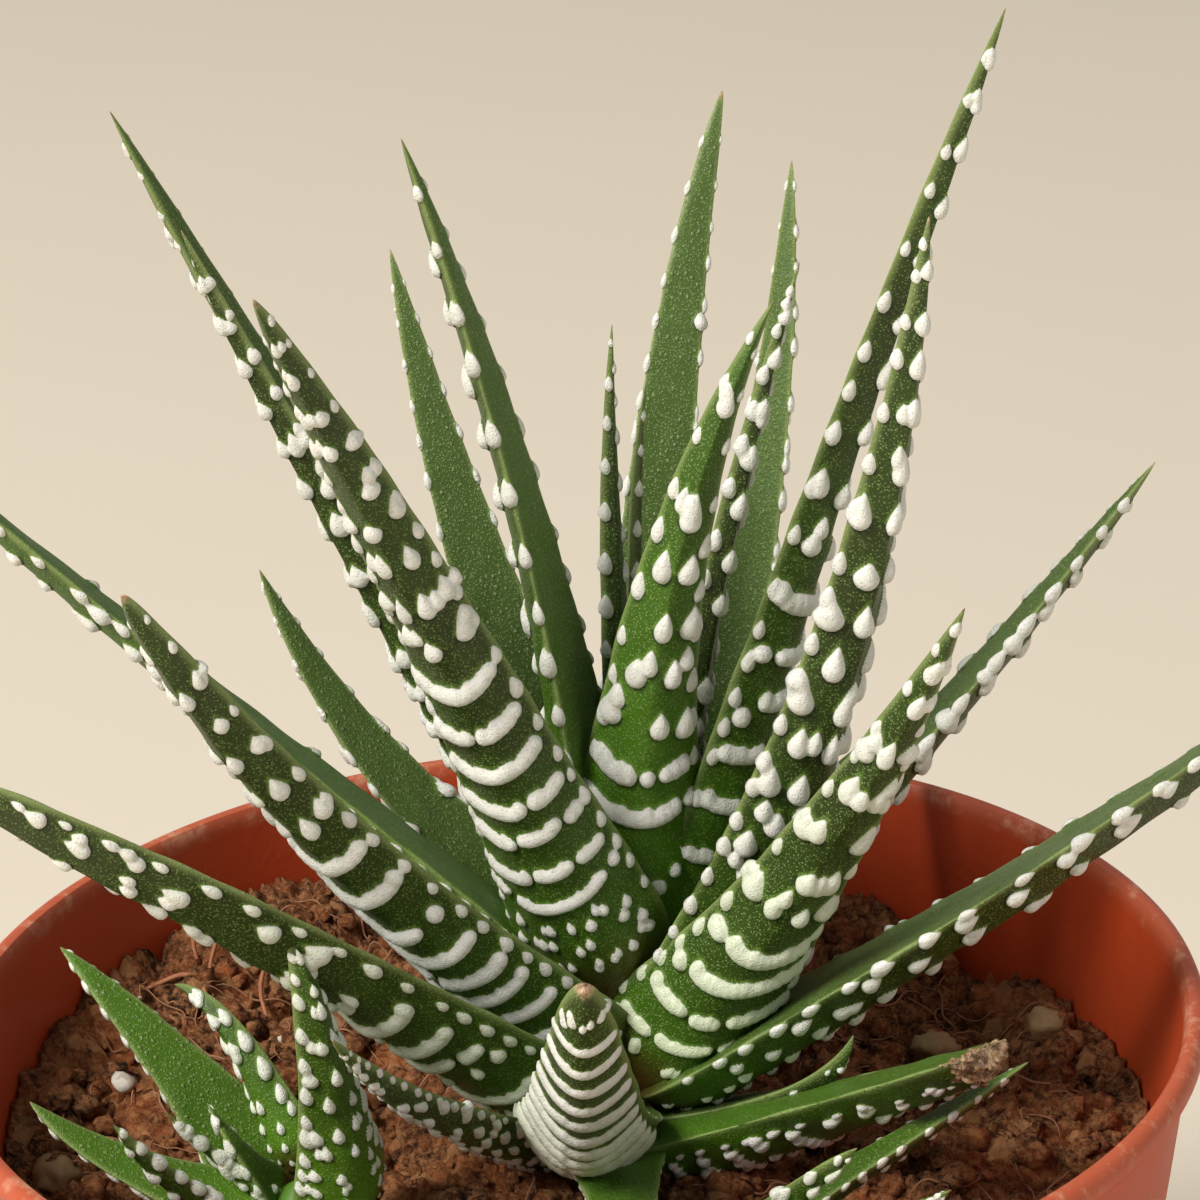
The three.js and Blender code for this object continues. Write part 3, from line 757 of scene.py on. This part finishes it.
def grow(leaf, material, slot):
    """Models one leaf as a sphere drawn out along its centreline, with the tubercles raised from it."""
    random = np.random.RandomState(leaf["seed"])
    rings, sides = leaf["rings"], leaf["sides"]
    clear_selection()
    bpy.ops.mesh.primitive_uv_sphere_add(segments=sides, ring_count=rings, radius=1)
    piece = bpy.context.object
    piece.name = leaf["node"] + "_skin"
    mesh = piece.data
    ball = np.empty(len(mesh.vertices) * 3)
    mesh.vertices.foreach_get("co", ball)
    ball = ball.reshape(-1, 3)
    share = np.arccos(np.clip(-ball[:, 2], -1, 1)) / math.pi
    turn = (np.arctan2(ball[:, 1], ball[:, 0]) / math.tau) % 1.0

    broken = leaf["end"] < 1
    closing = np.clip((1 - share) / 0.035, 0, 1) ** 0.5 if broken else np.ones_like(share)
    t = np.minimum(share / (0.985 if broken else 1.0), 1) * leaf["end"]
    t = np.minimum(t, 0.9995)
    points = skin(leaf, t, turn, closing)
    step = 0.002
    before = skin(leaf, np.maximum(t - step, 0), turn, closing)
    ahead = skin(leaf, np.minimum(t + step, 1), turn, closing) - before
    round_about = skin(leaf, t, turn + step, closing) - skin(leaf, t, turn - step, closing)
    normals = np.cross(round_about, ahead)
    normals /= np.maximum(np.linalg.norm(normals, axis=1, keepdims=True), 1e-9)
    outward = points - centreline(leaf, t)[0]
    normals[(normals * outward).sum(axis=1) < 0] *= -1
    along_axis = centreline(leaf, t)[1]

    fine = np.linspace(0, 1, 200)
    strides = np.linalg.norm(np.diff(centreline(leaf, fine)[0], axis=0), axis=1)
    lengths = np.concatenate([[0], np.cumsum(strides)])
    leaf["length"] = lengths[-1] * leaf["end"]
    along = np.interp(t, fine, lengths)
    across, upper = unrolled(turn)
    half = half_width(leaf, t)
    over_face = np.sign(across) * (BACK_STRETCH + 1 - np.abs(across))
    spread = np.where(upper, over_face, BACK_STRETCH * across) * half

    crowd, lift, rim = np.zeros(len(t)), np.zeros(len(t)), np.zeros(len(t))
    nearest = np.full(len(t), -9.0)
    for place, beside, width, foot, point, height, narrow in tubercles(leaf, random):
        near = np.nonzero((np.abs(along - place) < 4.5) & (np.abs(spread - beside) < 3.5))[0]
        ahead_by = along[near] - place
        narrowing = 1 - narrow * np.clip(ahead_by / point, 0, 1) ** 1.3
        stretch = np.where(ahead_by > 0, point, foot)
        radius = np.hypot(ahead_by / stretch, (spread[near] - beside) / (width * narrowing))
        pull = np.exp(BLENDING * (1 - radius))
        crowd[near] += pull
        lift[near] += pull * np.minimum(height, 0.9 * half[near] + 0.05)
        closer = 1 - radius > nearest[near]
        nearest[near] = np.maximum(nearest[near], 1 - radius)
        # rim is positive on a tubercle's tip side, for its pale fringe, and negative on its root side, for a
        # painted shadow line.
        rim[near] = np.where(closer, np.sign(ahead_by) * np.clip(2 - radius, 0, 1), rim[near])
    level = np.log(crowd + 1e-6) / BLENDING
    raised = lift / (crowd + 1e-6) * np.clip(1 - np.clip(1 - level, 0, 1) ** 2.6, 0, 1) ** 0.85
    points += normals * raised[:, None] - along_axis * (0.28 * raised)[:, None]
    waves = np.sin(0.31 * along + leaf["seed"]) * np.cos(0.6 * spread + leaf["seed"])
    waves += 0.6 * np.sin(0.83 * along - 0.7 * spread)
    points += normals * (0.09 * waves * np.minimum(half / 4, 1))[:, None]
    dry = np.clip((t - 0.986) / 0.01, 0, 1)
    if broken:
        dried = t - leaf["end"] + 0.045 + 0.012 * np.sin(2.1 * spread)
        dry = np.clip((dried + 0.006 * np.sin(5.3 * spread + 1)) / 0.006, 0, 1)
        for index in np.nonzero(dry > 0)[0]:
            crumble = noise.fractal(Vector(points[index]) * 0.9, 0.7, 2.2, 4)
            points[index] += (normals[index] * 0.5 + along_axis[index] * 0.35) * crumble * dry[index]
    mesh.vertices.foreach_set("co", (points * MM).ravel())
    mesh.update()

    for name, values in {
        "tubercle": np.clip(level, -1, 1),
        "fringe_and_foot_shadow": rim,
        "margin": np.exp(-((1 - np.abs(across)) * half / 0.3) ** 2),
        "share": t,
        "dry": dry,
        "face": upper.astype(float),
        "tone": np.full(len(t), leaf["tone"]),
        "milk": leaf["milk"] * np.clip(1.15 - 1.5 * t, 0, 1),
    }.items():
        mesh.attributes.new(name, "FLOAT", "POINT").data.foreach_set("value", values.astype(np.float32))
    unrolled_place = np.stack([across * half, along, np.full(len(t), float(leaf["seed"]))], axis=1)
    flat = mesh.attributes.new("unrolled", "FLOAT_VECTOR", "POINT")
    flat.data.foreach_set("vector", unrolled_place.astype(np.float32).ravel())
    bpy.ops.object.shade_smooth()
    dress(piece, material, slot, leaf["node"])


def leaf_finish(name, deep, bright, upper_green, wax, wax_shade):
    """Satin green skin with pale speckles, and glossier white where a tubercle is raised."""
    material, shader, place = new_finish(name)

    def read(attribute):
        return wire(material, "ShaderNodeAttribute", {}, output=2, attribute_name=attribute)

    unrolled_skin = wire(material, "ShaderNodeAttribute", {}, output=1, attribute_name="unrolled")
    share, face, tone = read("share"), read("face"), read("tone")
    cloudy = grain(material, place, 90, 4, 0.6)
    fine = grain(material, place, 2400, 3, 0.6)
    near_root = ramp(material, share, 0.04, 0.34, 1.0, 0.0)
    youth = multiply(material, tone, ramp(material, share, 0.25, 0.65, 1.5, 0.6))
    fresh = add(material, multiply(material, near_root, 0.62), youth)
    fresh = add(material, fresh, multiply(material, add(material, cloudy, -0.5), 0.7))
    back = blend_colours(material, ramp(material, fresh, 0.0, 1.0), deep, bright)
    top_share = ramp(material, share, 0.05, 0.55, 0.3, 0.92)
    upper_skin = blend_colours(material, multiply(material, tone, 1.3), upper_green, bright)
    green = blend_colours(material, multiply(material, face, top_share), back, upper_skin)

    dots = ramp(material, cells(material, place, SPECKLES), 0.2, 0.42, 1.0, 0.0)
    chosen = cells(material, place, SPECKLES, output=1)
    chance = wire(material, "ShaderNodeSeparateColor", {"Color": chosen})
    speckle = multiply(material, dots, ramp(material, chance, 0.0, 0.8, 0.3, 1.0))
    green = blend_colours(material, multiply(material, speckle, 0.66), green, rgb(150, 176, 96))
    rows = wire(material, "ShaderNodeMapping", {"Vector": unrolled_skin, "Scale": (1.5, 1.15, 1.0)})
    stipple = ramp(material, cells(material, rows, 1.0, 0.6), 0.1, 0.3, 1.0, 0.0)
    stipple = multiply(material, multiply(material, stipple, face), ramp(material, share, 0.08, 0.25))
    green = blend_colours(material, multiply(material, stipple, 0.26), green, rgb(180, 196, 136))

    fringe_and_foot_shadow = read("fringe_and_foot_shadow")
    tipward = multiply(material, ramp(material, fringe_and_foot_shadow, 0.6, 0.95), ramp(material, fine, 0.3, 0.55))
    green = blend_colours(material, multiply(material, tipward, 0.42), green, rgb(126, 164, 56))
    # Painted shadow: a thin dark line on the skin just below the root-side foot of each tubercle.
    shadow = ramp(material, fringe_and_foot_shadow, -0.55, -0.98)
    green = blend_colours(material, multiply(material, shadow, 0.6), green, rgb(24, 38, 14))
    green = blend_colours(material, multiply(material, read("margin"), 0.55), green, rgb(158, 174, 108))
    crumbly = ramp(material, grain(material, place, 900, 5, 0.8), 0.4, 0.62)
    cork = blend_colours(material, crumbly, rgb(92, 62, 40), rgb(214, 178, 140))
    brown_root = multiply(material, ramp(material, share, 0.1, 0.03), 0.8)
    green = blend_colours(material, brown_root, green, rgb(88, 48, 26))

    edge = add(material, read("tubercle"), multiply(material, add(material, fine, -0.5), 0.05))
    white = ramp(material, edge, 0.0, 0.08)
    mottled = ramp(material, grain(material, place, 500, 4, 0.7), 0.35, 0.7)
    chalk = blend_colours(material, mottled, wax_shade, wax)
    chalk = blend_colours(material, read("milk"), chalk, rgb(206, 224, 168))
    colour = blend_colours(material, white, green, chalk)
    colour = blend_colours(material, multiply(material, read("dry"), 0.95), colour, cork)
    roughness = ramp(material, white, 0.0, 1.0, 0.42, 0.36)
    relief = add(material, multiply(material, speckle, 0.9), multiply(material, fine, 0.8))
    relief = add(material, relief, multiply(material, stipple, 1.5))
    relief = add(material, relief, multiply(material, ramp(material, cloudy, 0.3, 0.7), 0.8))
    normal = bumps(material, relief, 0.5, 0.0002)
    finish_with(material, shader, Base_Color=colour, Roughness=roughness, Normal=normal)
    shader.inputs["Specular IOR Level"].default_value = 0.4
    shader.inputs["Subsurface Weight"].default_value = 0.12
    shader.inputs["Subsurface Radius"].default_value = (0.7, 1.0, 0.35)
    shader.inputs["Subsurface Scale"].default_value = 0.0016
    return material


def describe(node, root, middle, tip, width, back, **changes):
    """A leaf's sizes in millimetres and degrees, and where it differs from the ordinary leaf. Shares are
    of its length, unless said otherwise.

    Form: roll about its centreline, taper of its blade, fat for its thickness, end where it is broken off,
    keel for its sharpness, neck as how much it narrows at the root and over which share.
    Rows: start, pitch apart, pack for how close at the root, size of a tubercle, teeth on the margins.
    Bands: from low up to the share bands, order as their chance, curl of their ends to the tip, slant to
    one side, cover as how far across they reach, wild for how uneven. An even leaf's are alike and close.
    Dots: spread apart, pairs as the chance of a fused pair.
    Colour: tone for a brighter green, milk for a greener white. Mesh: rings along it and sides around."""
    leaf = {
        "node": node, "root": root, "middle": middle, "tip": tip, "width": width, "back": back,
        "roll": 0, "taper": 0.75, "fat": 1, "end": 1, "bands": 0.3, "pitch": 4.6, "size": 1.0,
        "spread": 1.0, "start": 0.06, "tone": 0.1, "rings": 240, "sides": 84, "curl": 0.2, "order": 0.94,
        "milk": 0, "pack": 0.6, "teeth": 1.0, "even": False, "keel": 1.0, "slant": 0, "cover": 1.0,
        "pairs": 0.28, "wild": 1.0, "low": 0, "neck": (0.3, 0.05),
    }
    leaf.update(changes)
    leaf["seed"] = sum(ord(letter) * (index + 3) for index, letter in enumerate(node)) % 9973
    return leaf


MAIN_LEAVES = [
    describe("leaf_01", (7, 9.5, 96.5), (5.5, 12, 130), (6.5, 14, 157.5), 6.5, -60, bands=0, spread=9,
             rings=200, sides=56),
    describe("leaf_02", (7, 11, 95.5), (7, 14, 129), (9.5, 16, 151), 5.5, 0, bands=0, spread=9, teeth=0.9,
             rings=180, sides=56),
    describe("leaf_03", (8, 9, 97), (14.5, 8, 132), (24, 10, 164), 8, -50, bands=0.1, spread=1.3,
             pairs=0.1, teeth=1.2),
    describe("leaf_04", (6.5, 7, 95), (10, 2, 133), (21, 0, 163.5), 17.5, -91, taper=0.9, bands=0.34,
             size=1.15, pitch=5.2, pack=1.15, spread=1.25, pairs=0.12, wild=2.4, tone=0.75, start=0.17,
             rings=300, sides=104),
    describe("leaf_05", (7.5, 13, 95), (10.5, 26, 136), (18.5, 42, 172), 13.5, 95, taper=0.65, teeth=1.35),
    describe("leaf_06", (8.5, 12, 95.5), (19, 20, 133.5), (24.5, 30, 168), 13, 60, teeth=1.35),
    describe("leaf_07", (5, 8, 95.5), (-1, 4.5, 139), (-11.5, 0, 180), 15, 159, bands=0.1, tone=0.4,
             size=1.2, spread=2.5, pitch=6, teeth=1.2, pairs=0.05, rings=300),
    describe("leaf_08", (8, 8, 92.5), (25.5, 5.5, 145), (42.5, 5, 188), 14.5, -34, bands=0.46, start=0.16,
             spread=1.5, size=1.1, pitch=5.2, pack=1.1, pairs=0.12, slant=-0.3, wild=2, tone=0.2, rings=320),
    describe("leaf_09", (5.5, 13, 94), (-6.5, 28, 124.5), (-15, 40, 158), 15, 100),
    describe("leaf_10", (4.5, 12, 94.5), (-19, 14, 140), (-38.5, 14, 180), 13, 150, rings=280),
    describe("leaf_11", (4.5, 3, 94.5), (-10.5, -10, 138), (-23.5, -25, 173.5), 16.5, -98, taper=0.65,
             bands=0.5, pack=0.56, start=0.08, low=0.15, rings=380, sides=116),
    describe("leaf_12", (3.5, 9, 94), (-15.5, 6, 134.5), (-31.5, 0, 172.5), 13.5, -140, spread=0.8, rings=300),
    describe("leaf_13", (9.5, 5, 90), (25, -5.5, 130.5), (34.5, -6, 172.5), 18.5, -52, bands=0.05,
             spread=1.4, size=1.2, pairs=0.15, rings=340, sides=104),
    describe("leaf_14", (10.5, 9, 91.5), (33.5, 12, 114.5), (57.5, 15, 141), 15, 5, bands=0.2, teeth=1.3),
    describe("leaf_15", (3.5, 12, 93.5), (-16.5, 22, 108.5), (-29.5, 30, 128.5), 14, 130),
    describe("leaf_16", (8, 13, 94.5), (11, 38, 114), (14.5, 58, 130), 13, 90, rings=160, sides=64),
    describe("leaf_17", (5, 13, 93.5), (-5, 38, 115.5), (-12, 56, 132), 13, 110, rings=160, sides=64),
    describe("leaf_18", (7, 2, 86), (24, -12, 116), (35.5, -25, 143), 17.5, -90, taper=0.85, roll=-11,
             bands=0.38, start=0.08, low=0.12, milk=0.6, size=1.15, pitch=5.4, pack=0.68, slant=-0.45,
             wild=1.6, rings=300, sides=108),
    describe("leaf_19", (2.5, 3, 88), (-20.5, -16.5, 120.5), (-36, -29.5, 149.5), 16.5, -107, taper=0.55,
             bands=0.6, low=0.1, curl=0.3, slant=0.44, wild=1.3, pairs=0.2, rings=350, sides=108),
    # leaf_20's high tone is partly painted light: a brighter green that lifts an upper face lying in shade.
    describe("leaf_20", (2.5, 7, 92.5), (-35, 5.5, 128.5), (-66.5, 5, 159.5), 14.5, -167, bands=0.1,
             tone=0.85, rings=320),
    describe("leaf_21", (11.5, 11, 91.5), (26, 32, 99.5), (38.5, 48, 103), 12, 60, rings=150, sides=64),
    describe("leaf_22", (7, 4, 84), (36.5, -8.5, 107), (68, -5, 126), 16.5, -37, taper=0.4, roll=9,
             bands=0, size=1.0, pitch=5.2, spread=1.2, teeth=1.15, pairs=0.12, rings=320, sides=96),
    describe("leaf_23", (2, 2, 83), (-28, -19.5, 114.5), (-53, -26, 132), 19.5, -109, taper=0.42, roll=-10,
             bands=0.42, low=0.12, curl=0.3, slant=0.42, cover=0.85, wild=1.4, start=0.08, milk=0.45,
             rings=340, sides=108),
    describe("leaf_24", (1, 1, 84), (1, -23.5, 96), (1.5, -43.5, 118), 19.5, -95, taper=0.45, fat=1.2,
             roll=-6, bands=0.93, pitch=4.2, start=0.1, teeth=0.2, milk=0.5, curl=-0.12, order=1, size=1.6,
             even=True, keel=0.2, neck=(0.45, 0.17), rings=330, sides=120),
    describe("leaf_25", (3, -0.5, 79.5), (29.5, -19, 95), (47, -43, 114), 20, -61, roll=5, end=0.68,
             bands=0, size=0.8, pitch=4, spread=0.75, pairs=0.45, tone=0.6, rings=260, sides=96),
    describe("leaf_26", (6, 2, 81), (20, -6, 87), (26, -10, 94.5), 8, -60, bands=0, size=0.5,
             rings=140, sides=64),
    describe("leaf_27", (1.5, 1, 77.5), (-12, -21, 94), (-20.5, -38, 111), 10, -110, roll=30, bands=0,
             size=0.65, pitch=2.6, spread=0.75, rings=260),
    describe("leaf_28", (2.5, 0, 81.5), (4, -27, 86.5), (5, -50, 88), 13, -90, size=0.7, bands=0, tone=0.6),
    describe("leaf_29", (6, 9, 83), (6, 33, 90), (8, 52, 99), 13, 90, rings=150, sides=64),
    describe("leaf_30", (3, 8, 82.5), (-10, 25, 89.5), (-20, 36, 98), 12, 120, rings=140, sides=64),
    describe("leaf_31", (8, 7, 82), (21, 22, 87.5), (29, 35, 95.5), 12, 50, rings=140, sides=64),
]
main_skin = leaf_finish(
    "leaf_skin", rgb(48, 62, 18), rgb(72, 116, 14), rgb(84, 106, 50), rgb(242, 241, 234), rgb(224, 224, 212)
)
for leaf in MAIN_LEAVES:
    grow(leaf, main_skin, "leaf")

# ---- Leaves of the two offsets ----
# Young plants at the foot of the rosette. Their leaves are shorter and a brighter green, with small
# separate tubercles.

OFFSET = {"bands": 0, "size": 0.66, "pitch": 3.0, "tone": 0.3, "teeth": 1.5, "rings": 140, "sides": 64}
OFFSET_SPOTS = [
    ("left_offset_leaf_1", (-28, -12, 81.5), (-31.5, -14, 87.5), (-34.5, -12, 91.5), 5, 160, {}),
    ("left_offset_leaf_2", (-28, -12, 81), (-34, -14, 87.5), (-38, -16, 93), 3.5, -120, {}),
    ("left_offset_leaf_3", (-22.5, -16, 82), (-23, -20, 99.5), (-25, -22, 113.5), 12, -50, {}),
    ("left_offset_leaf_4", (-26.5, -8, 82), (-32, -4, 94), (-38, 0, 98), 7, -120, {}),
    ("left_offset_leaf_5", (-28, -10, 80.5), (-38.5, -6, 93.5), (-48.5, 0, 102.5), 11.5, 118, {}),
    ("left_offset_leaf_6", (-27, -18, 81.5), (-34.5, -24, 89), (-41, -30, 99.5), 10, -130, {}),
    ("left_offset_leaf_7", (-28, -14, 80.5), (-42, -14, 86.5), (-51, -12, 92.5), 9.5, 170, {"roll": -20}),
    ("left_offset_leaf_8", (-23.5, -18, 81.5), (-16.5, -30, 84.5), (-12, -44, 91.5), 9, -60, {}),
    ("right_offset_leaf_1", (13.5, -30, 85), (19.5, -33, 92), (24.5, -36, 97), 8, -60, {}),
    ("right_offset_leaf_2", (14, -28, 84), (28.5, -22, 89.5), (42, -14, 93), 8.5, -30,
     {"roll": 10, "size": 0.45, "tone": 0.0}),
    ("right_offset_leaf_3", (13.5, -30, 84.5), (23.5, -38, 90.5), (32, -44, 97), 8, -50, {}),
    ("right_offset_leaf_4", (12.5, -32, 85), (11.5, -42, 87), (12.5, -50, 86), 8, -90, {}),
    ("right_offset_leaf_5", (11.5, -31, 85), (6, -39.5, 90.5), (1, -47, 96), 7, -130, {}),
]
OFFSET_LEAVES = [
    describe(node, root, middle, tip, width, back, **{**OFFSET, **changes})
    for node, root, middle, tip, width, back, changes in OFFSET_SPOTS
]
offset_skin = leaf_finish(
    "offset_leaf_skin", rgb(58, 82, 22), rgb(88, 132, 20), rgb(70, 104, 26),
    rgb(244, 245, 236), rgb(226, 230, 208)
)
for leaf in OFFSET_LEAVES:
    grow(leaf, offset_skin, "offset_leaf")

# ---- Floor, light and camera ----
# A plain warm floor that runs out of sight, a soft key light from the upper left, a weak fill from the
# right, and the photograph's low, close view from the front.

CAMERA_TILT = math.radians(21.5)
CAMERA_ROLL = math.radians(-2.6)
CAMERA_DISTANCE = 400
CAMERA_LENS = 125.5
AIM_RIGHT = 2.5
AIM_UP = 37.7


def plain_finish(name, colour, roughness):
    material, shader, place = new_finish(name)
    tone = ramp(material, grain(material, place, 6, 2), 0.3, 0.7, 0.0, 0.05)
    finish_with(material, shader, Base_Color=blend_colours(material, tone, colour, rgb(255, 250, 240)))
    finish_with(material, shader, Roughness=roughness)
    return material


clear_selection()
bpy.ops.mesh.primitive_plane_add(size=12)
floor = bpy.context.object
floor.name = "floor"
floor.data.materials.append(plain_finish("floor_paper", rgb(234, 222, 201), 0.95))


def soft_light(name, place, size, power, colour):
    """A square area light at a place in millimetres, aimed at the middle of the plant."""
    clear_selection()
    bpy.ops.object.light_add(type="AREA", location=Vector(place) * MM)
    light = bpy.context.object
    light.name = name
    light.data.size = size * MM
    light.data.energy = power
    light.data.color = colour
    aim = Vector((0, 0, 110)) * MM - light.location
    light.rotation_euler = aim.to_track_quat("-Z", "Y").to_euler()


soft_light("key", (-1530, -1050, 1980), 1000, 82.0, (1.0, 0.97, 0.92))
soft_light("fill", (1700, -1500, 900), 1400, 7.0, (1.0, 0.97, 0.93))

world = bpy.context.scene.world or bpy.data.worlds.new("studio")
bpy.context.scene.world = world
world.use_nodes = True
world.node_tree.nodes["Background"].inputs["Color"].default_value = (0.98, 0.98, 1.0, 1)
world.node_tree.nodes["Background"].inputs["Strength"].default_value = 0.25
bpy.context.scene.view_settings.view_transform = "Standard"

forward = Vector((0, math.cos(CAMERA_TILT), -math.sin(CAMERA_TILT)))
level_right = Vector((1, 0, 0))
level_up = level_right.cross(forward)
right = math.cos(CAMERA_ROLL) * level_right + math.sin(CAMERA_ROLL) * level_up
up = math.cos(CAMERA_ROLL) * level_up - math.sin(CAMERA_ROLL) * level_right
aim = right * AIM_RIGHT + up * AIM_UP + Vector((0, 0, POT_HEIGHT))
clear_selection()
bpy.ops.object.camera_add(location=(aim - forward * CAMERA_DISTANCE) * MM)
camera = bpy.context.object
camera.rotation_euler = Matrix((right, up, -forward)).transposed().to_euler()
camera.data.lens = CAMERA_LENS
camera.data.sensor_width = 36
camera.data.clip_start = 0.01
bpy.context.scene.camera = camera
